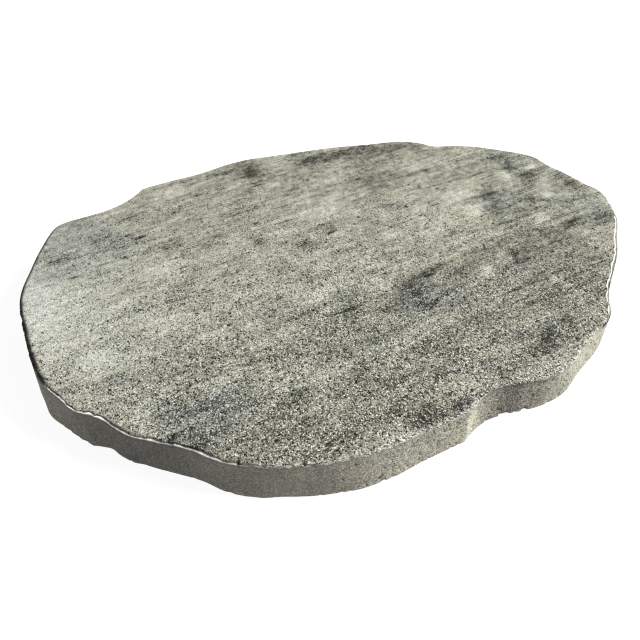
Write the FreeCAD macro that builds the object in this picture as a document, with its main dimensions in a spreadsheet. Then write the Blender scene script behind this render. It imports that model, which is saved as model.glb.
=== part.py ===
import FreeCAD, Part
import os
import Sketcher

# A garden stepping stone: one cast slab with a waved rim like split rock, a flat tread and a flat bed.
# The origin is the middle of the underside, the length runs along X and the tread faces +Z.

NODE = "stepping_stone"

# Driving sizes in millimetres
SIZES = {
    "stone_length": 533,
    "stone_width": 385,
    "stone_thickness": 38,
    "arris_radius": 3,
    "back_step_depth": 18,
    "front_bay_depth": 10,
}

# Corners where one stretch of the rim meets the next, as (along, across) in millimetres
NOSE = (266, -30)
BACK_NOTCH = (165, 122)
BACK_CORNER = (-120, 190.3)
LEFT_NOTCH = (-241.5, -62.5)
BAY_CORNER = (8, -191.2)

# The rim from corner to corner, seen from above and counter-clockwise from the nose at the right end.
# Each stretch has its control points, (along, across) in millimetres, and the depth, if any, by which
# some of them are set back from its edge. Those have their share of that depth as a third number.
RIGHT_END = [
    NOSE, (262, -12), (258, 14), (250, 28), (251, 45), (241, 61),
    (200, 101), (181, 109), (169, 114), BACK_NOTCH,
]
BACK_EDGE = [
    BACK_NOTCH, (160.5, 129), (143, 143), (112, 150), (93, 160), (55, 171), (18, 179.5),
    (-10, 189), (-36, 189.5), (-64, 185.5), (-100, 191.5), BACK_CORNER,
]
LEFT_END = [
    BACK_CORNER, (-129, 192, -0.5), (-148, 192, -1.1), (-176, 192, -1.1), (-204, 192, -0.95),
    (-218, 192, -1.33), (-245, 118), (-262, 91), (-264, 45), (-267, -5), (-259, -29), (-249.5, -49),
    LEFT_NOTCH,
]
FRONT_LEFT = [
    LEFT_NOTCH, (-232, -67), (-223, -92), (-188, -122), (-165, -149), (-138, -169), (-106, -185.5),
    (-67, -192.5), (-20, -191.5), BAY_CORNER,
]
FRONT_RIGHT = [
    BAY_CORNER, (19, -193, 0.8), (40, -193, 1.4), (62, -193, 0.3), (84, -193), (106, -189), (124, -177.5),
    (152, -167.5), (165, -160), (173, -147), (190, -130), (207, -118), (225, -101), (233, -88),
    (255.5, -69), (263, -45), NOSE,
]
RIM = [
    (RIGHT_END, None),
    (BACK_EDGE, None),
    (LEFT_END, "back_step_depth"),
    (FRONT_LEFT, None),
    (FRONT_RIGHT, "front_bay_depth"),
]


def make_sheet(doc):
    """The spreadsheet that holds the driving sizes."""
    sheet = doc.addObject("Spreadsheet::Sheet", "sizes")
    for row, (name, value) in enumerate(SIZES.items(), start=1):
        sheet.set(f"A{row}", name)
        sheet.set(f"B{row}", str(value))
        sheet.setAlias(f"B{row}", name)
    doc.recompute()


def smooth_curve(points):
    """A cubic curve from the first point to the last, led by the points between them."""
    poles = [FreeCAD.Vector(x, y) for x, y in points]
    knots = list(range(len(poles) - 2))
    multiplicities = [4] + [1] * (len(knots) - 2) + [4]
    curve = Part.BSplineCurve()
    curve.buildFromPolesMultsKnots(poles, multiplicities, knots, False, 3)
    return curve


def set_back(point, depth):
    """How far a control point is set back from its edge, in millimetres along +Y."""
    return point[2] * SIZES[depth] if len(point) == 3 else 0


def drawn_box():
    """The box around the rim as its control points draw it."""
    edges = []
    for points, depth in RIM:
        curve = smooth_curve([(point[0], point[1] + set_back(point, depth)) for point in points])
        edges.append(curve.toShape())
    return Part.Wire(edges).optimalBoundingBox(False, False)


def rim_places():
    """Each stretch's control points: where they lie, and the sizes that place them along and across."""
    drawn = drawn_box()
    stretches = []
    for points, depth in RIM:
        stretch = []
        for point in points:
            along = (point[0] - drawn.Center.x) / drawn.XLength
            across = (point[1] - drawn.Center.y) / drawn.YLength
            place = (along * SIZES["stone_length"], across * SIZES["stone_width"] + set_back(point, depth))
            along_size = f"sizes.stone_length * {along:.9f}"
            across_size = f"sizes.stone_width * {across:.9f}"
            if len(point) == 3:
                across_size += f" + sizes.{depth} * {point[2]}"
            stretch.append((place, along_size, across_size))
        stretches.append(stretch)
    return stretches


def numbers_of(sketch, kind):
    """The numbers of the sketch's shapes of one kind."""
    return [number for number, shape in enumerate(sketch.Geometry) if isinstance(shape, kind)]


def draw_rim(body):
    """The rim sketch: smooth curves joined at the corners, with every control point held by the sizes."""
    sketch = body.newObject("Sketcher::SketchObject", "rim")
    ground = [plane for plane in body.Origin.OriginFeatures if plane.Role == "XY_Plane"]
    sketch.AttachmentSupport = [(ground[0], "")]
    sketch.MapMode = "FlatFace"

    stretches = rim_places()
    for stretch in stretches:
        curve = sketch.addGeometry(smooth_curve([place for place, along_size, across_size in stretch]), False)
        sketch.exposeInternalGeometry(curve)
    sketch.delGeometries(numbers_of(sketch, Part.Point))

    origin, start, end, middle = -1, 1, 2, 3
    curves = numbers_of(sketch, Part.BSplineCurve)
    for curve, following in zip(curves, curves[1:] + curves[:1]):
        sketch.addConstraint(Sketcher.Constraint("Coincident", curve, end, following, start))

    # A stretch's last point is held as the first point of the next
    handles = iter(numbers_of(sketch, Part.Circle))
    held = []
    for stretch in stretches:
        held += [(next(handles), point) for point in stretch][:-1]
    distances = []
    for handle, (place, along_size, across_size) in held:
        distances.append(Sketcher.Constraint("DistanceX", origin, start, handle, middle, place[0]))
        distances.append(Sketcher.Constraint("DistanceY", origin, start, handle, middle, place[1]))
    number = sketch.addConstraint(distances)[0]
    for handle, (place, along_size, across_size) in held:
        sketch.setExpression(f"Constraints[{number}]", along_size)
        sketch.setExpression(f"Constraints[{number + 1}]", across_size)
        number += 2
    return sketch


def make_stone(doc):
    """The slab, padded from its rim to its thickness, with the edge round the tread rounded off."""
    body = doc.addObject("PartDesign::Body", NODE)
    body.Label = NODE
    slab = body.newObject("PartDesign::Pad", "slab")
    slab.Profile = draw_rim(body)
    slab.setExpression("Length", "sizes.stone_thickness")
    doc.recompute()

    tread_edges = []
    for number, edge in enumerate(slab.Shape.Edges, start=1):
        if edge.BoundBox.ZMin > SIZES["stone_thickness"] / 2:
            tread_edges.append(f"Edge{number}")
    arris = body.newObject("PartDesign::Fillet", "arris")
    arris.Base = (slab, tread_edges)
    arris.setExpression("Radius", "sizes.arris_radius")
    doc.recompute()
    return body


def check(doc, body):
    """Stop if a feature failed or the solid isn't sound."""
    for item in doc.Objects:
        if {"Invalid", "Error"} & set(item.State):
            raise RuntimeError(f"{item.Label} failed: {item.State}")
    if body.Shape.isNull() or not body.Shape.isValid():
        raise RuntimeError(f"{body.Label} isn't a valid solid")


doc = FreeCAD.newDocument("stepping_stone")
make_sheet(doc)
stone = make_stone(doc)
check(doc, stone)
os.makedirs("parts", exist_ok=True)
stone.Shape.exportStep(f"parts/{stone.Label}.step")
box = stone.Shape.optimalBoundingBox(False, False)
print(f"{stone.Label}: {box.XLength:.2f} x {box.YLength:.2f} x {box.ZLength:.2f} mm")
print(f"volume {stone.Shape.Volume:.0f} mm3")
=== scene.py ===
import math

import bpy
import numpy as np
from mathutils import Matrix, Vector
from mathutils.geometry import delaunay_2d_cdt


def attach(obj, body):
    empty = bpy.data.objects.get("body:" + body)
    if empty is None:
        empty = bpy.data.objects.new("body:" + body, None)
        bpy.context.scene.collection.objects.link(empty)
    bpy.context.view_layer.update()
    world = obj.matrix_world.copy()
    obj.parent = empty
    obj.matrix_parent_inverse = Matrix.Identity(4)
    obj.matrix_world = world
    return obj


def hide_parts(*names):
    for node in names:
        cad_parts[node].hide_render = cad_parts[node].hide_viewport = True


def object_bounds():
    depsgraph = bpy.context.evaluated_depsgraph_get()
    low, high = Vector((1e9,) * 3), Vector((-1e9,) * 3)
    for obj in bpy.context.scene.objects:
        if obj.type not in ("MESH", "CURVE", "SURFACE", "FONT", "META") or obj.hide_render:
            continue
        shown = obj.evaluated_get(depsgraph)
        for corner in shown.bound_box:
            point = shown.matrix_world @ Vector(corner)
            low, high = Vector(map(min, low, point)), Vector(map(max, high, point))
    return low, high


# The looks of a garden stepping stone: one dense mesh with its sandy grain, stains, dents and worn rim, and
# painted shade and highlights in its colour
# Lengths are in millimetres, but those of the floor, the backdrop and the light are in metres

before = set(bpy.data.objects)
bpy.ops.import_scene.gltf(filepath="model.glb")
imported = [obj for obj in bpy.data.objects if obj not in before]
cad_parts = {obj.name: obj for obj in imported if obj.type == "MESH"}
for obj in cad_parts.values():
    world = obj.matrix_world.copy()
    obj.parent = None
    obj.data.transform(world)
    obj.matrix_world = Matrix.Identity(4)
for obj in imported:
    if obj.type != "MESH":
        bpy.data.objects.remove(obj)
CAD_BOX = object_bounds()

NODE = "stepping_stone"
MM = 0.001
THICKNESS = (CAD_BOX[1].z - CAD_BOX[0].z) / MM

# How far apart the mesh's points are
TREAD_STEP = 1.62
RIM_STEP = 1.55
WALL_STEP = 2.3
BED_STEP = 9.0

# The worn arris and the foot, as (inset, depth below the tread)
ARRIS = [(3.1, 0.0), (2.2, 0.2), (1.5, 0.6), (0.9, 1.2), (0.4, 2.0), (0.05, 2.9)]
FOOT = [(0.1, THICKNESS - 1.6), (0.35, THICKNESS - 0.7), (0.9, THICKNESS)]

# The lip between the arris and the wall, as (share of the ledge's width, depth below the arris)
LIP = [(0.95, 0.2), (0.4, 0.05), (0.0, 0.4), (0.0, 1.0)]

# How deep each ring of the wall lies below the tread
WALL_DEPTHS = np.arange(ARRIS[-1][1] + LIP[-1][1] + WALL_STEP, FOOT[0][1] - WALL_STEP / 2, WALL_STEP)

# How wide the ledge below the tread's edge is, where the rim has a white lip and where it is bright
LEDGE = 1.65
BRIGHT_LEDGE = 2.3

# How ragged the arris and the ledge are, as shares of their widths
FINE_RAG = 0.35
BROAD_RAG = 0.25
LEDGE_RAG = 0.4

# How worn the arris is in general, how much less at the back and front, and how much more where marked
WEAR = 0.5
BACK_SPARED = 0.28
FRONT_SPARED = 0.25
SHADED_AND_SOILED_WEAR = 0.2
BLACK_WEAR = 0.4
CHIP_WEAR = 0.6

# How large the relief of the tread and of the bed is, and the share of the tread's points that are pores
SLOW_WAVES = 0.2
COMBING = 0.12
GRAIN_HEIGHT = 0.055
PORE_DEPTH = 1.1
PORE_SHARE = 0.015
BED_WAVES = 0.25

# How large the relief of the wall is, and the share of its points at the front that are pits
WALL_INSET = 0.3
BACK_OUTSET = 0.9
RIPPLES = 0.3
DRAG_MARKS = 0.12
HOLLOWS = 0.2
TEETH = 1.5
WALL_GRAIN = 0.1
PIT_DEPTH = 0.8
PIT_SHARE = 0.035
NICK_DEPTH = 1.8

# Heights over which the wall's relief fades out down to the bed, and the nicks fade out up from the foot
RELIEF_FADE = 3
NICK_FADE = 5

# The share of the grainy rim's points that are pale crumbs, and the share that are dark gaps
SPECK_SHARE = 0.2

# How dark pores are painted at most, and how dark scores are painted for each millimetre of their depth:
# painted shade in these hollows
PORE_DARKNESS = 0.8
SCORE_DARKNESS = 0.45

# Above this share of the tread, a point has the tread's stains, painted light and pores and not the wall's
TREAD_LIMIT = 0.5

# Stains on the tread, as (along, across, half length, half width, strength); those at the dents' places are
# painted shade in the dents
STAINS_AND_DENT_SHADE = [
    (-15, 168, 12, 14, 0.55), (48, 158, 16, 8, 0.6), (75, 150, 22, 8, 0.5), (125, 135, 22, 9, 0.5),
    (95, 151, 40, 9, 0.3), (153, 122, 8, 6, 0.35), (-40, 180, 14, 8, 0.3), (174, 22, 8, 6, 0.5),
    (166, 4, 8, 13, 0.35), (222, 27, 8, 7, 0.5), (214, 17, 7, 6, 0.2), (216, 48, 6, 8, 0.3),
    (223, 62, 9, 7, 0.22), (212, 68, 6, 7, 0.15), (193, -20, 7, 5, 0.4), (204, -8, 5, 5, 0.35),
    (212, -18, 4, 5, 0.35), (183, -18, 4, 5, 0.25), (212, -52, 9, 5, 0.45), (203, -56, 6, 3, 0.3),
    (181, -50, 5, 5, 0.35), (243, -60, 9, 6, 0.5), (248, -10, 8, 6, 0.25), (45, -85, 10, 9, 0.45),
    (45, -86, 4, 5, 0.4), (38, -62, 12, 14, 0.4), (60, -52, 10, 5, 0.35), (141, -70, 6, 11, 0.45),
    (122, -78, 7, 6, 0.25), (163, -118, 7, 8, 0.35), (-167, -95, 16, 12, 0.22), (-174, -124, 12, 12, 0.32),
    (-152, -115, 14, 16, 0.16), (-110, -150, 16, 9, 0.25), (-80, -168, 14, 8, 0.2), (-22, -181, 12, 8, 0.7),
    (3, -182, 9, 6, 0.55), (-35, -165, 14, 6, 0.3), (25, -135, 14, 10, 0.25), (107, -162, 12, 8, 0.5),
    (85, -168, 18, 8, 0.35), (132, -150, 6, 16, 0.35), (-182, 135, 14, 14, 0.3), (-145, 118, 8, 4, 0.35),
    (-215, 120, 12, 9, 0.2), (-100, 140, 12, 10, 0.2), (-122, 92, 10, 7, 0.35), (-112, 68, 8, 8, 0.3),
    (-52, 62, 6, 8, 0.4), (-14, 36, 7, 8, 0.35), (14, 42, 7, 5, 0.3), (-38, 108, 18, 10, 0.2),
    (90, 90, 22, 22, 0.3), (134, 84, 16, 3, 0.45), (142, 80, 4, 4, 0.3), (48, -14, 12, 4, 0.25),
    (-33, -10, 8, 6, 0.25), (105, -17, 14, 5, 0.25), (250, -5, 9, 22, 0.35), (215, 65, 12, 8, 0.25),
    (-150, -54, 40, 5, 0.2), (100, -48, 40, 4, 0.25), (100, -110, 220, 55, 0.3), (-20, -68, 50, 14, 0.12),
    (-178, -126, 4, 3.5, 0.45), (-167, -137, 7, 4, 0.2), (90, -62, 50, 12, 0.18), (170, -60, 50, 12, 0.18),
    (-100, -160, 120, 60, 0.15), (60, 130, 130, 40, 0.08), (200, 20, 60, 90, 0.15),
]

# Pale patches on the tread, given in the same way
PALE_PATCHES = [
    (-170, 20, 80, 60, 0.08), (-250, 60, 24, 60, 0.55), (-215, 55, 34, 44, 0.3), (-215, -12, 20, 12, 0.4),
    (-190, -25, 15, 8, 0.3), (-140, 70, 22, 16, 0.3), (-155, -5, 14, 12, 0.25), (-65, 65, 9, 9, 0.35),
    (30, 72, 14, 10, 0.2), (5, 70, 30, 10, 0.12), (50, 115, 12, 8, 0.3), (141, 31, 16, 9, 0.5),
    (156, 25, 10, 7, 0.2), (206, 37, 5, 12, 0.55), (236, 38, 8, 5, 0.65), (118, 5, 7, 7, 0.3),
    (147, 0, 8, 9, 0.4), (90, 0, 18, 12, 0.25), (193, -37, 5, 8, 0.55), (220, -9, 5, 7, 0.4),
    (228, 5, 7, 8, 0.3), (-35, -28, 15, 8, 0.3), (15, -38, 14, 7, 0.25), (108, -72, 8, 10, 0.6),
    (125, -65, 8, 6, 0.3), (153, -110, 6, 8, 0.5), (-45, -187, 14, 7, 0.3), (-100, 170, 22, 9, 0.3),
    (-75, -115, 16, 9, 0.25), (-205, -85, 10, 12, 0.2), (160, 90, 18, 10, 0.2), (0, -106, 90, 12, 0.25),
    (215, -85, 16, 10, 0.3), (-85, 8, 22, 14, 0.15),
]

# Patches of the tread with finer grain
SMOOTH_PATCHES = [(195, -40, 125, 135, 0.46), (95, 80, 135, 50, 0.18)]

# Stains and pale patches on the wall. The darkening on the left end is painted shade, that in the bay is
# painted shade with stains, and the pale patch at the bay's corner is a painted highlight
WALL_STAINS_AND_SHADE = [
    (190, -135, 40, 40, 0.2), (51, -186, 8, 20, 0.4), (34, -184, 14, 20, 0.25), (64, -188, 20, 20, 0.15),
    (-215, -95, 70, 60, 0.5),
]
PALE_WALL_AND_HIGHLIGHT = [(13, -190, 7, 14, 0.3), (140, -172, 30, 22, 0.15)]

# Bluish patches all over
BLUISH_PATCHES = [
    (-165, -105, 32, 22, 1.0), (45, -78, 24, 22, 1.0), (170, 8, 16, 22, 0.8), (222, 55, 16, 20, 0.8),
    (215, -10, 35, 30, 0.4), (-245, 90, 25, 45, 0.4), (-195, 125, 45, 40, 1.0), (-215, 155, 40, 20, 0.6),
    (135, -75, 16, 14, 0.5), (-215, 10, 50, 60, 0.3), (245, -45, 18, 22, 0.7),
]

# Shallow dents in the tread, as (along, across, half length, half width, depth)
DENTS = [
    (173, 21, 9, 7, 0.9), (222, 26, 8, 7, 0.8), (216, 49, 7, 7, 0.6), (197, -14, 10, 7, 0.6),
    (141, -70, 7, 9, 0.8), (163, -118, 7, 7, 0.8), (243, -60, 8, 6, 0.7), (45, -85, 9, 8, 0.7),
    (-52, 62, 6, 6, 0.9), (-112, 70, 7, 7, 0.7), (-14, 36, 6, 6, 0.7),
]

# Scores in the tread, given in the same way: nearly all run along it, and two short ones run across
SCORES = [
    (184, 52, 17, 1.1, 0.9), (150, 55, 14, 1.0, 0.6), (13, 40, 4, 1.3, 1.4), (-145, 119, 6, 1.4, 1.3),
    (60, -53, 5, 1.2, 1.3), (-60, -45, 24, 1.0, 0.45), (-20, -58, 20, 0.9, 0.5), (190, -42, 18, 1.0, 0.5),
    (120, -103, 30, 0.9, 0.45), (-189, -112.5, 1.0, 3, 1.3), (-193, -114.5, 1.0, 2.2, 1.2),
    (70, 20, 26, 0.8, 0.4), (-100, 30, 22, 0.9, 0.4), (-184, 98, 9, 1.2, 1.0), (-212, 93, 4, 1.2, 1.0),
    (-166, 98, 3, 1.5, 1.2), (-77, 156, 2, 1.6, 1.0), (-230, 123, 5, 1.0, 0.8),
]

# Stretches of the rim that are more worn and painted black, as (along, across, reach): painted shade where
# the arris faces away from the light, with dark soil
BLACK_RIM = [
    (-217, 163, 12), (-228, 148, 22), (-240, 125, 26), (-252, 105, 30), (-266, 60, 45), (-266, 20, 40),
    (-264, -10, 14),
]

# Stretches that are toothed, given in the same way as all stretches here
TOOTHED_RIM = [(-265, 45, 34), (-266, 10, 30)]

# Stretches where the arris is painted dark: painted shade where it faces away from the light, with soil
SHADED_AND_SOILED_RIM = [(-266, 60, 50), (-266, 15, 34)]

# Stretches with a white lip: a painted highlight on the ledge, partly a pale worn edge
LIPPED_RIM = [(-257, -32, 15), (-252, -45, 20), (-232, -70, 30), (-205, -108, 35), (-175, -140, 30)]

# Stretches with a broken row of pale grains
GRAINY_RIM = [
    (-140, -169, 14), (-115, -182, 30), (-60, -192, 40), (-5, -192, 35), (105, -190, 30), (128, -176, 14),
]

# Stretches that are bright, with a painted highlight where the rim faces the light, and those of them with a
# dark outer line of painted shade on the wall's head
BRIGHT_RIM = [
    (250, -72, 11), (236, -87, 15), (222, -103, 17), (205, -118, 18), (188, -133, 16), (175, -146, 11),
    (166, -157, 8),
]
LINED_RIM = [(225, -99, 15), (207, -117, 20), (190, -131, 11)]

# Stretches with a dark edge, and chips, which are also painted black as shade in them
EDGED_RIM = [(155, -166, 8)]
CHIPPED_RIM = [(-193.2, -118.3, 1.3), (-157, -155, 1.2), (-118, -180, 1), (118, -180, 1.5)]

# Where the wall's head is set in, or out where negative, as (along, across, reach, inset)
RIM_WAVES = [
    (-248, -51, 8, -1.2), (-241, -63, 5, 1.0), (-218, -92, 14, -1.3), (-187, -124, 13, 1.2),
    (-165, -147, 13, -0.9), (-125, -175, 18, 0.7), (-98, -186, 22, 2.0), (158, -163, 13, -1.5),
    (264, -31, 15, -1.5),
]

# Where the wall leans out towards its foot, or in where negative, as (along, across, reach, lean)
LEANS = [
    (-264, 0, 26, 2.6), (-256, -32, 22, 2.8), (-242, -60, 14, 1.8), (-223, -86, 12, 1.8),
    (-157, -154, 24, 2.8), (-64, -191, 26, 2.3), (76, -191, 24, -1.8), (215, -110, 18, 2.0),
]

# Sizes of the sand grains and of the dark gaps between them, along all three axes
SAND_SIZES = (0.68, 1.0, 0.75)
GAP_SIZES = (0.86, 1.25, 0.95)

# Colours of the tread and of the wall, as (tone, colour) from dark to pale
TREAD_TONES = [
    (0.0, (0.01, 0.01, 0.009)), (0.2, (0.031, 0.031, 0.023)), (0.5, (0.26, 0.256, 0.205)),
    (0.75, (0.455, 0.453, 0.385)), (1.0, (0.65, 0.655, 0.6)),
]
WALL_TONES = [
    (0.0, (0.04, 0.038, 0.033)), (0.4, (0.148, 0.139, 0.117)), (0.7, (0.31, 0.3, 0.235)),
    (1.0, (0.54, 0.525, 0.42)),
]

# Cool to warm tints of the whole stone, and how much of them shows
TINTS = [(0.0, (0.9, 0.97, 1.0)), (0.5, (1, 1, 0.99)), (1.0, (1.0, 0.93, 0.84))]
TINT_SHARE = 0.35

# Tint of the bluish patches, the dark colour of soil and painted shade, and the white of painted highlights
# and pale grains
BLUISH = (0.93, 0.98, 1.06, 1)
SOIL_AND_PAINTED_SHADE = (0.012, 0.012, 0.013, 1)
HIGHLIGHT_AND_PALE_WHITE = (0.88, 0.87, 0.83, 1)


def rng(name):
    """A random generator of its own for each named use, the same at every run."""
    return np.random.default_rng([ord(letter) for letter in name])


def waves(x, y, along, across, name):
    """Smooth random waves from about -1 to 1, with bumps of about the given sizes."""
    u, v = x / along, y / across
    column, row = np.floor(u).astype(int), np.floor(v).astype(int)
    s, t = u - column, v - row
    s, t = s * s * (3 - 2 * s), t * t * (3 - 2 * t)
    column, row = column - column.min(), row - row.min()
    heights = rng(name).uniform(-1, 1, (column.max() + 2, row.max() + 2))
    near = heights[column, row] * (1 - s) + heights[column + 1, row] * s
    far = heights[column, row + 1] * (1 - s) + heights[column + 1, row + 1] * s
    return near * (1 - t) + far * t


def rough_waves(x, y, along, across, name):
    """Waves with finer waves on them, each layer half as large and half as strong."""
    total = 0
    for layer in range(3):
        finer = 2**layer
        total = total + waves(x, y, along / finer, across / finer, f"{name}{layer}") / finer
    return total


def spots(x, y, places):
    """The sum of soft spots, each (along, across, half length, half width, strength)."""
    total = np.zeros_like(x)
    for along, across, length, width, strength in places:
        total += strength * np.exp(-(((x - along) / length) ** 2) - ((y - across) / width) ** 2)
    return total


def stretches(x, y, places):
    """1 on the named stretches of the rim, fading to 0 past their reach."""
    mask = np.zeros_like(x)
    for along, across, reach in places:
        mask = np.maximum(mask, np.exp(-(((x - along) ** 2 + (y - across) ** 2) / reach**2) ** 2))
    return mask


def part_way(value, low, high):
    """How far a value is from low to high, held between 0 and 1."""
    return np.clip((value - low) / (high - low), 0, 1)


def cad_outline():
    """The CAD slab's outline at the bed, counter-clockwise, as evenly spaced points and their stations."""
    bed_limit = 0.01 * MM
    corners = {(round(v.co.x / MM, 4), round(v.co.y / MM, 4))
               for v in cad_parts[NODE].data.vertices if v.co.z < bed_limit}
    loop = np.array(sorted(corners, key=lambda corner: math.atan2(corner[1], corner[0])))
    closed = np.vstack([loop, loop[:1]])
    run = np.concatenate([[0], np.cumsum(np.hypot(*np.diff(closed, axis=0).T))])
    count = round(run[-1] / RIM_STEP)
    stations = np.arange(count) * run[-1] / count
    return np.column_stack([np.interp(stations, run, closed[:, axis]) for axis in (0, 1)]), stations


def outward(loop):
    """The level direction out of the slab at each point of the outline, smoothed over a few points."""
    reach = 3
    along = np.roll(loop, -reach, axis=0) - np.roll(loop, reach, axis=0)
    out = np.column_stack([along[:, 1], -along[:, 0]])
    return out / np.linalg.norm(out, axis=1)[:, None]


def along_rim(stations, length, name):
    """Random waves along the rim from -1 to 1 that close on themselves, with knots about a length apart."""
    total = stations[-1] + stations[1]
    count = round(total / length)
    knots = rng(name).uniform(-1, 1, count)
    return np.interp(stations, np.arange(count + 1) * total / count, np.append(knots, knots[0]))


def room_inside(points, loop):
    """How far each point is inside the loop, negative where it is outside."""
    points_at_once, tiny = 2000, 1e-9
    start, end = loop, np.roll(loop, -1, axis=0)
    rise = end[:, 1] - start[:, 1]
    slope = (end[:, 0] - start[:, 0]) / np.where(rise == 0, tiny, rise)
    rooms = []
    for part in np.array_split(points, max(1, len(points) // points_at_once)):
        x, y = part[:, 0:1], part[:, 1:2]
        crosses = (start[:, 1] > y) != (end[:, 1] > y)
        left = x < start[:, 0] + (y - start[:, 1]) * slope
        inside = np.count_nonzero(crosses & left, axis=1) % 2 == 1
        gap = np.sqrt(((x - start[:, 0]) ** 2 + (y - start[:, 1]) ** 2).min(axis=1))
        rooms.append(np.where(inside, gap, -gap))
    return np.concatenate(rooms)


def scattered(loop, step, name):
    """Points about a step apart all over the inside of the loop, none of them close to it."""
    row_step, shift, margin = step * math.sqrt(0.75), 0.3, 0.75
    low, high = loop.min(axis=0), loop.max(axis=0)
    rows = []
    for number, y in enumerate(np.arange(low[1], high[1], row_step)):
        x = np.arange(low[0] + number % 2 * step / 2, high[0], step)
        rows.append(np.column_stack([x, np.full_like(x, y)]))
    points = np.vstack(rows)
    points += rng(name).uniform(-shift, shift, points.shape) * step
    return points[room_inside(points, loop) > margin * step]


def triangles(loop, inner):
    """Triangles over the loop and the points inside it, as numbers that count the loop's points first."""
    points = [Vector(point) for point in np.vstack([loop, inner])]
    edges = [(number, (number + 1) % len(loop)) for number in range(len(loop))]
    inside_only, weld = 1, 1e-6
    made = delaunay_2d_cdt(points, edges, [], inside_only, weld)
    source = [numbers[0] for numbers in made[3]]
    return np.array([[source[corner] for corner in face] for face in made[2]])


def pick(points, axis):
    """One of the two numbers of each point."""
    return [point[axis] for point in points]


def per_ring(arris, lip=0.0, wall=0.0, foot=0.0):
    """One value for each ring of the rim's section, as a column."""
    groups = [(arris, ARRIS), (lip, LIP), (wall, WALL_DEPTHS), (foot, FOOT)]
    return np.concatenate([np.broadcast_to(value, len(rings)) for value, rings in groups])[:, None]


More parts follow.
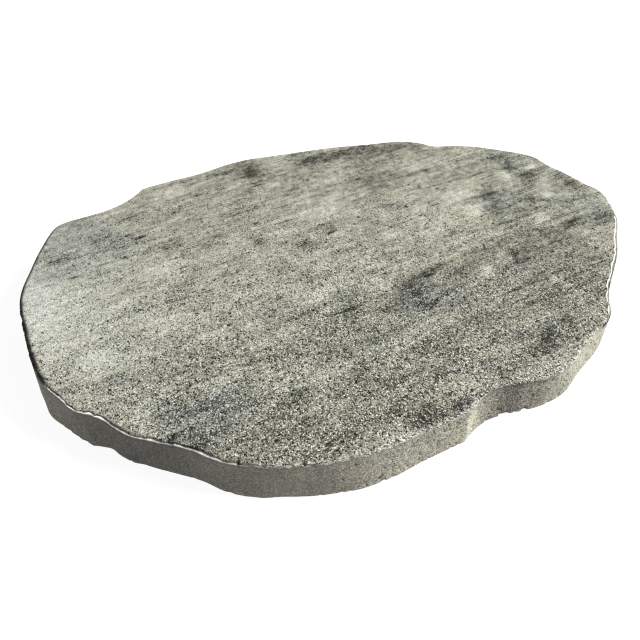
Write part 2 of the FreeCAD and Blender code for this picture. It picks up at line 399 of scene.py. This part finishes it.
class Rim:
    """The rings of points from the tread's edge over the arris and the lip, down the wall to the bed."""

    def __init__(self):
        outline, self.stations = cad_outline()
        self.x, self.y = outline.T
        self.black = self.near(BLACK_RIM)
        self.shaded_and_soiled = self.near(SHADED_AND_SOILED_RIM)
        self.lipped = self.near(LIPPED_RIM)
        self.grainy = self.near(GRAINY_RIM)
        self.bright = self.near(BRIGHT_RIM)
        self.chipped = self.near(CHIPPED_RIM)

        # How far each point is towards the back, the left end and the front, from 0 to 1
        self.at_back = part_way(self.y, 0, 60)
        self.at_left = part_way(-self.x, 205, 235)
        self.at_front = part_way(self.x, -110, -50) * part_way(-self.y, 20, 80)

        inset, self.depth = self.worn_section()
        self.on_wall = per_ring(0.0, 0.3, 1.0, 1.0)
        self.rough = 0.3 + 0.7 * self.at_front
        self.coarse = np.maximum(self.on_wall, self.grainy * per_ring(0.0, 1.0)) * self.rough
        pitted = rng("wall pit").random(self.depth.shape) > 1 - PIT_SHARE * self.at_front
        self.pit = pitted * per_ring(0.0, 0.0, 1.0)
        self.nicked = self.nicks()
        inset = inset + self.ripples() + self.drag_marks() + self.grain_and_pits() + NICK_DEPTH * self.nicked
        out = outward(outline)
        self.ring_x = self.x - out[:, 0] * inset
        self.ring_y = self.y - out[:, 1] * inset

    def near(self, places):
        """1 on the named stretches, fading to 0 past their reach."""
        return stretches(self.x, self.y, places)

    def summed(self, places):
        """The sum of amounts along the rim, each (along, across, reach, amount)."""
        return sum(amount * self.near([place]) for *place, amount in places)

    def wavy(self, length, name):
        """Random waves along the rim from -1 to 1."""
        return along_rim(self.stations, length, name)

    def loop(self, ring):
        """The points of one ring, seen from above."""
        return np.column_stack([self.ring_x[ring], self.ring_y[ring]])

    def worn_section(self):
        """How far each ring is set in and how deep it lies. The arris is ragged, and broad at the left."""
        rag = FINE_RAG * self.wavy(3.4, "rag") + BROAD_RAG * self.wavy(11, "broad rag")
        rag = 1 + rag * (1 - 0.8 * self.at_back)
        wear = WEAR - BACK_SPARED * self.at_back * (1 - 0.5 * self.shaded_and_soiled) - FRONT_SPARED * self.at_front
        wear = (wear + SHADED_AND_SOILED_WEAR * self.shaded_and_soiled + BLACK_WEAR * self.black) * rag + CHIP_WEAR * self.chipped
        ledge = LEDGE * self.lipped * (1 + LEDGE_RAG * self.wavy(3.3, "ledge"))
        ledge = ledge + BRIGHT_LEDGE * self.bright * rag
        inset = per_ring(pick(ARRIS, 0)) * wear
        inset = inset + ledge * per_ring(1.0, pick(LIP, 0))
        inset = inset + per_ring(0.0, foot=pick(FOOT, 0))

        least_drop, most_drop = 0.3, 1.03
        drop = np.clip(least_drop + 0.7 * wear, least_drop, most_drop)
        drop = drop * (1 - 0.7 * self.bright - 0.5 * self.lipped * self.at_left)
        depth = per_ring(pick(ARRIS, 1), ARRIS[-1][1]) * drop
        depth = depth + per_ring(0.0, pick(LIP, 1), WALL_DEPTHS, pick(FOOT, 1))
        return inset, depth

    def ripples(self):
        """The wall's ripples, leans and waves, and the teeth at the head of its left end."""
        lean_share = np.clip(self.depth / THICKNESS, 0, 1) ** 1.5
        teeth = TEETH * self.near(TOOTHED_RIM) * np.abs(self.wavy(2.9, "teeth"))
        toothed = per_ring(np.linspace(0, 1, len(ARRIS)), 1.0, np.clip(1.6 - WALL_DEPTHS / 8, 0, 1))
        ripple = WALL_INSET - BACK_OUTSET * self.at_back + RIPPLES * self.wavy(24, "ripple")
        ripple = ripple - self.summed(LEANS) * lean_share
        ripple = ripple + self.summed(RIM_WAVES) * (1 - self.depth / THICKNESS)
        return ripple + teeth * toothed

    def relief_share(self):
        """How much of the wall's finer relief there is at each ring, fading out just above the bed."""
        return part_way(THICKNESS - self.depth, 0, RELIEF_FADE)

    def drag_marks(self):
        """Upright drag marks and broader hollows."""
        drag = DRAG_MARKS * self.wavy(3.1, "drag") + HOLLOWS * self.wavy(14, "hollow")
        return self.on_wall * self.relief_share() * drag

    def grain_and_pits(self):
        """A random inset at each point of the wall, with pits at the front."""
        grain = WALL_GRAIN * rng("wall grain").normal(0, 1, self.depth.shape)
        return self.coarse * self.relief_share() * (grain + PIT_DEPTH * self.pit)

    def nicks(self):
        """How strong the small nicks along the foot are, from 0 to 1. They are also painted dark, as painted
        shade in them.
        """
        nick = np.clip(2 * self.wavy(3.2, "nick") - 0.8, 0, 1) * self.rough
        return nick * np.clip(1.3 - (THICKNESS - self.depth) / NICK_FADE, 0, 1)

    def tread(self):
        """How much of the tread's looks each point has, from the tread's edge down to the wall."""
        return per_ring(np.linspace(1, 0.75, len(ARRIS)), [0.6, 0.3, 0, 0]) * np.ones_like(self.x)

    def soil_and_painted_shade(self):
        """How dark each point is painted, from 0 to 1: painted shade where the rim faces away from the
        light, in the groove, the chips and the nicks, with dark soil, dark edges and gaps.
        """
        specks = rng("grime specks").uniform(-0.5, 0.5, self.depth.shape)
        uneven = 0.4 * self.wavy(5, "grime") + 0.7 * specks
        # How patchy the black band's painted shade and soil are
        grime = np.clip(1 + (uneven - 0.2) * per_ring([0, 0, 0, 0.2, 0.7, 1], 1.0, 1.0, 1.0), 0, 1)
        # Painted shade along the back arris, which faces away from the light
        back_line = self.at_back * (0.75 + 0.25 * self.wavy(9, "back line"))
        # Painted shadow in the groove between the tread and the white lip
        groove = self.lipped * (0.7 + 0.4 * self.wavy(5, "groove"))
        # Painted shade on the wall's head outside the bright rim
        lined = self.near(LINED_RIM) * np.clip(0.75 + 0.7 * self.wavy(7, "line"), 0, 1)
        gaps = self.grainy * (rng("gaps").random(self.depth.shape) > 1 - SPECK_SHARE)
        # The black stretches are painted shade with dark soil, and the chips are painted black as shade in
        # them
        blackened = np.maximum(self.black, self.chipped)
        return np.maximum.reduce([
            self.shaded_and_soiled * per_ring([0, 0.25, 0.8, 1, 1, 1]),
            blackened * per_ring([0.9, 1, 1, 1, 1, 1], [1, 0.8, 0.6, 0.45]) * grime,
            self.black * per_ring(0.0, 0.0, np.clip(0.45 - WALL_DEPTHS / 30, 0, 1)) * grime,
            back_line * per_ring([0, 0.15, 0.45, 0.7, 0.7, 0.7], 0.5),
            groove * per_ring([0, 0.15, 0.5, 0.8, 0.9, 0.5]),
            lined * per_ring(0.0, [0, 0.9, 1, 0.6]),
            self.nicked,
            self.near(EDGED_RIM) * per_ring([0, 0, 0.3, 0.8, 1, 1], 1.0),
            gaps * per_ring([0.5, 0.6, 0.6, 0.6, 0.6, 0.5]),
        ])

    def lip(self):
        """How white each point is, from 0 to about 1: painted highlight on the lip, partly a pale worn edge,
        painted highlight on the bright rim, and pale grains.
        """
        broken = np.clip(3 * self.wavy(3.6, "broken") - 0.6, 0, 1)
        pale = np.maximum(self.lipped * (0.68 + 0.42 * self.wavy(2.4, "lip")), self.grainy * broken)
        crumbs = self.grainy * (rng("crumbs").random(self.depth.shape) > 1 - SPECK_SHARE)
        return np.maximum.reduce([
            pale * per_ring([0, 0, 0, 0, 0, 0.3], [1, 1, 0.1, 0]) * (1 - self.chipped),
            self.bright * per_ring([0, 0, 0, 0, 0.3, 1], [1, 0, 0, 0]),
            crumbs * per_ring([0.5, 0.6, 0.6, 0.6, 0.5, 0.4]),
        ])


def tread_coarseness(x, y):
    """How coarse the tread's grain is: coarser towards the front, finer on the smooth patches."""
    middle, fall, uneven = 0.73, 375, 0.12
    finest, coarsest = 0.18, 1.15
    coarse = middle - y / fall + uneven * rough_waves(x, y, 45, 30, "coarse") - spots(x, y, SMOOTH_PATCHES)
    return np.clip(coarse, finest, coarsest)


def tread_relief(x, y, coarse):
    """How high the tread's slow waves and combing stand, less its dents and scores."""
    slow = SLOW_WAVES * rough_waves(x, y, 90, 70, "slow")
    combing = COMBING * coarse * rough_waves(x, y, 22, 6, "comb")
    return slow + combing - (spots(x, y, DENTS) + spots(x, y, SCORES))


def tread_stains_and_shade(x, y, coarse):
    """The tread's pale patches less its stains and the painted shade in its dents, looked up a little beside
    each point for ragged edges.
    """
    shift_along, shift_across = 5, 4
    ragged = np.clip(coarse / 0.6, 0.5, 1)
    beside_x = x + shift_along * ragged * rough_waves(x, y, 14, 10, "ragged along")
    beside_y = y + shift_across * ragged * rough_waves(x, y, 14, 10, "ragged across")
    return spots(beside_x, beside_y, PALE_PATCHES) - spots(beside_x, beside_y, STAINS_AND_DENT_SHADE)


def stone_faces(rim, tread, bed):
    """The slab's faces: bands from ring to ring of the rim, then triangles over the tread and the bed."""
    count, rings = rim.ring_x.shape[1], rim.ring_x.size
    here, ahead = np.arange(count), (np.arange(count) + 1) % count
    band = np.column_stack([here, here + count, ahead + count, ahead])
    bands = [band + start for start in range(0, rings - count, count)]
    top = triangles(rim.loop(0), tread)
    top = np.where(top < count, top, top - count + rings)
    under = triangles(rim.loop(-1), bed)[:, ::-1]
    under = np.where(under < count, under + rings - count, under - count + rings + len(tread))
    return [face for group in (*bands, top, under) for face in group.tolist()]


def keep_lip_crisp(mesh, count):
    """Keep the edges along the lip sharp, in a rim with the given count of points in each ring."""
    ends = np.zeros(2 * len(mesh.edges), dtype=int)
    mesh.edges.foreach_get("vertices", ends)
    ring = ends.reshape(-1, 2) // count
    first_lip = len(ARRIS)
    crisp = (ring[:, 0] == ring[:, 1]) & np.isin(ring[:, 0], [first_lip - 1, first_lip, first_lip + 1])
    mesh.attributes.new("sharp_edge", "BOOLEAN", "EDGE").data.foreach_set("value", crisp)


def make_stone():
    """The slab as one closed mesh, with the masks that its material reads."""
    rim = Rim()
    tread = scattered(rim.loop(0), TREAD_STEP, "tread")
    bed = scattered(rim.loop(-1), BED_STEP, "bed")

    def everywhere(rim_values, tread_value, bed_value):
        """Values for all points: the rim's, ring by ring, then the tread's and the bed's."""
        on_top = np.broadcast_to(tread_value, len(tread))
        below = np.broadcast_to(bed_value, len(bed))
        return np.concatenate([rim_values.ravel(), on_top, below])

    x = everywhere(rim.ring_x, tread[:, 0], bed[:, 0])
    y = everywhere(rim.ring_y, tread[:, 1], bed[:, 1])
    depth = everywhere(rim.depth, 0.0, THICKNESS)
    on_tread = everywhere(rim.tread(), 1.0, 0.0)

    # The tread has a random height at each point, and some points are sunk as pores
    coarse = tread_coarseness(x, y)
    grain = np.clip(rng("grain").normal(0, 1, len(x)), -2, 2)
    pore = (rng("pore").random(len(x)) > 1 - PORE_SHARE) * rng("pore depth").uniform(0.3, 1, len(x))
    relief = tread_relief(x, y, coarse) + coarse * (GRAIN_HEIGHT * grain - PORE_DEPTH * pore)
    bed_relief = BED_WAVES * np.abs(rough_waves(*bed.T, 30, 24, "bed"))
    z = THICKNESS - depth + on_tread * relief
    z += everywhere(0 * rim.depth, 0.0, bed_relief)

    mesh = bpy.data.meshes.new("stone")
    mesh.from_pydata(np.column_stack([x, y, z]) * MM, [], stone_faces(rim, tread, bed))
    mesh.shade_smooth()
    keep_lip_crisp(mesh, rim.ring_x.shape[1])

    top = on_tread > TREAD_LIMIT
    # The wall's stain mask holds painted shade on the left end and in the bay, and a painted highlight at
    # the bay's corner
    wall_stain_and_light = spots(x, y, PALE_WALL_AND_HIGHLIGHT) - spots(x, y, WALL_STAINS_AND_SHADE)
    # Pores, scores and the wall's pits are painted darker, as painted shade in these hollows
    tread_pore = np.maximum(pore * np.minimum(coarse, PORE_DARKNESS), SCORE_DARKNESS * spots(x, y, SCORES))
    # Among these masks, the dark, white and stain masks hold painted shade and painted highlights
    masks = {
        "tread": on_tread,
        "stain_and_painted_light": np.where(top, tread_stains_and_shade(x, y, coarse), wall_stain_and_light),
        "bluish": np.minimum(spots(x, y, BLUISH_PATCHES), 1),
        "coarse": np.where(top, coarse, everywhere(rim.coarse, 0.0, 0.3)),
        "grain": grain,
        "pore": np.where(top, tread_pore, everywhere(rim.pit, 0.0, 0.0)),
        "soil_and_painted_shade": everywhere(rim.soil_and_painted_shade(), 0.0, 0.0),
        "lip": everywhere(rim.lip(), 0.0, 0.0),
    }
    for name, values in masks.items():
        mesh.attributes.new(name, "FLOAT", "POINT").data.foreach_set("value", values.astype(np.float32))

    stone = bpy.data.objects.new("stone", mesh)
    bpy.context.scene.collection.objects.link(stone)
    return stone


class Shading:
    """A material's node tree, with short calls for the nodes that it uses."""

    def __init__(self, name):
        self.material = bpy.data.materials.new(name)
        self.material.use_nodes = True
        self.tree = self.material.node_tree
        self.surface = self.tree.nodes["Principled BSDF"]

    def feed(self, socket, value):
        """Link an input to another node's output, or set its value."""
        if isinstance(value, bpy.types.NodeSocket):
            self.tree.links.new(value, socket)
        else:
            socket.default_value = value

    def node(self, kind, inputs, **settings):
        """A node with its settings, and with its inputs linked to sockets or set to values."""
        made = self.tree.nodes.new(kind)
        for name, value in settings.items():
            setattr(made, name, value)
        for name, value in inputs.items():
            self.feed(made.inputs[name], value)
        return made

    def mask(self, name):
        """One of the mesh's masks."""
        return self.node("ShaderNodeAttribute", {}, attribute_name=name).outputs["Fac"]

    def times(self, first, second):
        """One number times another."""
        return self.node("ShaderNodeMath", {0: first, 1: second}, operation="MULTIPLY").outputs[0]

    def total(self, base, *terms):
        """A number plus terms of (value, weight)."""
        for value, weight in terms:
            added = self.node("ShaderNodeMath", {0: value, 1: weight, 2: base}, operation="MULTIPLY_ADD")
            base = added.outputs[0]
        return base

    def scaled(self, place, sizes):
        """A place counted in steps of the given sizes in millimetres."""
        steps = [1 / (size * MM) for size in sizes]
        return self.node("ShaderNodeVectorMath", {0: place, 1: steps}, operation="MULTIPLY").outputs[0]

    def noise(self, place, sizes, detail):
        """Cloudy noise about 0, with bumps of about the given sizes in millimetres."""
        made = self.node(
            "ShaderNodeTexNoise", {"Vector": self.scaled(place, sizes), "Scale": 1.0, "Detail": detail})
        centred = self.node("ShaderNodeMath", {0: made.outputs["Fac"], 1: 0.5}, operation="SUBTRACT")
        return centred.outputs[0]

    def grains(self, place, sizes):
        """Grains of about the given sizes: a random tone from -1 to 1 for each, and its round top."""
        made = self.node("ShaderNodeTexVoronoi", {"Vector": self.scaled(place, sizes), "Scale": 1.0})
        tone = self.node("ShaderNodeSeparateColor", {"Color": made.outputs["Color"]}).outputs["Red"]
        return self.total(-1.0, (tone, 2.0)), self.total(0.5, (made.outputs["Distance"], -1.0))

    def share(self, value, low, high):
        """How far a number is from low to high, held between 0 and 1."""
        made = self.node("ShaderNodeMapRange", {"Value": value, "From Min": low, "From Max": high})
        return made.outputs["Result"]

    def ramp(self, value, stops):
        """A number turned into a colour, with stops of (number, colour)."""
        made = self.node("ShaderNodeValToRGB", {"Fac": value})
        elements = made.color_ramp.elements
        while len(elements) < len(stops):
            elements.new(1.0)
        for element, (place, colour) in zip(elements, stops):
            element.position = place
            element.color = (*colour, 1.0)
        return made.outputs["Color"]

    def mix(self, share, first, second, blend="MIX"):
        """Two colours mixed by a share from 0 to 1."""
        made = self.node("ShaderNodeMix", {}, data_type="RGBA", blend_type=blend)
        for socket, value in zip([made.inputs[0], made.inputs[6], made.inputs[7]], [share, first, second]):
            self.feed(socket, value)
        return made.outputs[2]


def concrete():
    """Cast concrete: open sandy grain and stains on the tread, smoother drawn walls, with painted shade and
    painted highlights from the mesh's masks.
    """
    shade = Shading("concrete")
    place = shade.node("ShaderNodeTexCoord", {}).outputs["Object"]
    sand, tops = shade.grains(place, SAND_SIZES)
    sand = shade.times(sand, shade.times(sand, sand))
    mottle = shade.noise(place, (5, 4.5, 4.5), 1.0)
    gaps = shade.grains(place, GAP_SIZES)[0]
    streaks = shade.noise(place, (40, 5.5, 5.5), 3.0)
    hairs = shade.noise(place, (34, 1.9, 1.9), 1.0)
    clouds = shade.noise(place, (30, 18, 18), 4.0)
    drag = shade.noise(place, (3, 3, 40), 3.0)
    tints = shade.noise(place, (30, 18, 18), 3.0)

    # The grain is stronger where the mesh's mask says that the stone is coarse
    coarse, pore, stain_and_painted_light = shade.mask("coarse"), shade.mask("pore"), shade.mask("stain_and_painted_light")
    grain, fine = shade.times(shade.mask("grain"), coarse), shade.times(sand, coarse)
    tops = shade.times(tops, coarse)
    mottle = shade.times(mottle, shade.total(1.35, (coarse, -1.0)))
    holes = shade.times(shade.share(gaps, -0.8, -0.95), coarse)
    hair_lines = shade.share(hairs, -0.13, -0.24)
    # Pores, scores and holes are painted darker, as painted shade in them; the stain mask also holds painted
    # shade and highlights
    tread_tone = shade.total(
        0.5, (stain_and_painted_light, 0.42), (streaks, 0.4), (clouds, 0.38), (hair_lines, -0.2),
        (grain, 0.02), (mottle, 0.4), (fine, 0.6), (tops, 0.18), (holes, -0.6), (pore, -0.9))
    tread_colour = shade.ramp(tread_tone, TREAD_TONES)
    wall_tone = shade.total(
        0.37, (coarse, 0.25), (stain_and_painted_light, 0.5), (drag, 0.15), (clouds, 0.25), (fine, 0.55), (sand, 0.12),
        (grain, 0.04), (holes, -0.5), (pore, -0.45))
    wall_colour = shade.ramp(wall_tone, WALL_TONES)

    colour = shade.mix(shade.mask("tread"), wall_colour, tread_colour)
    tint = shade.ramp(shade.share(tints, -0.2, 0.2), TINTS)
    colour = shade.mix(TINT_SHARE, colour, tint, "MULTIPLY")
    colour = shade.mix(shade.mask("bluish"), colour, BLUISH, "MULTIPLY")
    # Painted shade, with dark soil, from the mesh's dark mask
    colour = shade.mix(shade.mask("soil_and_painted_shade"), colour, SOIL_AND_PAINTED_SHADE)
    # Painted highlight on the lip and the bright rim, and pale grains
    colour = shade.mix(shade.mask("lip"), colour, HIGHLIGHT_AND_PALE_WHITE)

    height = shade.total(tops, (holes, -1.5))
    bump = shade.node("ShaderNodeBump", {"Height": height, "Strength": 0.5, "Distance": 0.5 * MM})
    shade.feed(shade.surface.inputs["Normal"], bump.outputs["Normal"])
    shade.feed(shade.surface.inputs["Base Color"], colour)
    shade.feed(shade.surface.inputs["Roughness"], shade.total(0.8, (shade.mask("tread"), 0.14)))
    shade.surface.inputs["Specular IOR Level"].default_value = 0.25
    return shade.material


def make_floor():
    """A plain white floor just below the bed, bright enough to keep the shadow faint. Gives its paint."""
    half, level = 20.0, -MM
    corners = [(-half, -half, level), (half, -half, level), (half, half, level), (-half, half, level)]
    mesh = bpy.data.meshes.new("floor")
    mesh.from_pydata(corners, [], [(0, 1, 2, 3)])
    paint = bpy.data.materials.new("floor_paint")
    paint.use_nodes = True
    surface = paint.node_tree.nodes["Principled BSDF"]
    surface.inputs["Base Color"].default_value = (0.2, 0.2, 0.2, 1)
    surface.inputs["Roughness"].default_value = 1.0
    surface.inputs["Emission Color"].default_value = (1, 1, 1, 1)
    surface.inputs["Emission Strength"].default_value = 0.9
    paint.cycles.emission_sampling = "NONE"
    mesh.materials.append(paint)
    floor = bpy.data.objects.new("floor", mesh)
    bpy.context.scene.collection.objects.link(floor)
    return paint


def make_backdrop(paint):
    """A plain wall far off all round, which is seen but neither lights nor shades the stone."""
    radius, sides, level = 19.0, 48, -MM
    turns = np.arange(sides) * 2 * math.pi / sides
    x, y = radius * np.cos(turns), radius * np.sin(turns)
    low = np.column_stack([x, y, np.full(sides, level)])
    high = np.column_stack([x, y, np.full(sides, radius)])
    here, ahead = np.arange(sides), (np.arange(sides) + 1) % sides
    faces = np.column_stack([here, ahead, ahead + sides, here + sides])
    mesh = bpy.data.meshes.new("backdrop")
    mesh.from_pydata(np.vstack([low, high]), [], faces.tolist())
    mesh.materials.append(paint)
    backdrop = bpy.data.objects.new("backdrop", mesh)
    backdrop.visible_diffuse = False
    backdrop.visible_glossy = False
    backdrop.visible_shadow = False
    bpy.context.scene.collection.objects.link(backdrop)


def make_light():
    """A broad soft light from the right, low enough to rake the tread, and even light all round."""
    azimuth, elevation, distance = math.radians(-20), math.radians(35), 5.0
    level = math.cos(elevation)
    towards = Vector((math.cos(azimuth) * level, math.sin(azimuth) * level, math.sin(elevation)))
    lamp = bpy.data.lights.new("key", "AREA")
    lamp.shape = "RECTANGLE"
    lamp.size = 3.0
    lamp.size_y = 2.0
    lamp.energy = 580
    key = bpy.data.objects.new("key", lamp)
    key.location = towards * distance
    key.rotation_euler = towards.to_track_quat("Z", "Y").to_euler()
    bpy.context.scene.collection.objects.link(key)

    world = bpy.data.worlds.new("studio")
    world.use_nodes = True
    sky = world.node_tree.nodes["Background"]
    sky.inputs["Color"].default_value = (1, 1, 1, 1)
    sky.inputs["Strength"].default_value = 0.36
    bpy.context.scene.world = world


def make_camera():
    """The photograph's view: half way down, turned towards the nose and slightly rolled."""
    pitch, heading, roll = math.radians(45), math.radians(24), math.radians(3.11)
    focal_pixels, frame_pixels = 750, 640
    stand = Vector((-220.9, -450.4, 468.0))
    camera = bpy.data.cameras.new("camera")
    camera.sensor_width = 36
    camera.lens = camera.sensor_width * focal_pixels / frame_pixels
    holder = bpy.data.objects.new("camera", camera)
    turn = Matrix.Rotation(-heading, 4, "Z") @ Matrix.Rotation(math.pi / 2 - pitch, 4, "X")
    holder.matrix_world = Matrix.Translation(stand * MM) @ turn @ Matrix.Rotation(-roll, 4, "Z")
    bpy.context.scene.collection.objects.link(holder)
    bpy.context.scene.camera = holder


stone = make_stone()
stone.data.materials.append(concrete())
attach(stone, "root")
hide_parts(NODE)
make_backdrop(make_floor())
make_light()
make_camera()
bpy.context.scene.view_settings.view_transform = "Standard"
bpy.context.scene.cycles.filter_width = 1.2
bpy.context.scene.cycles.denoising_prefilter = "NONE"
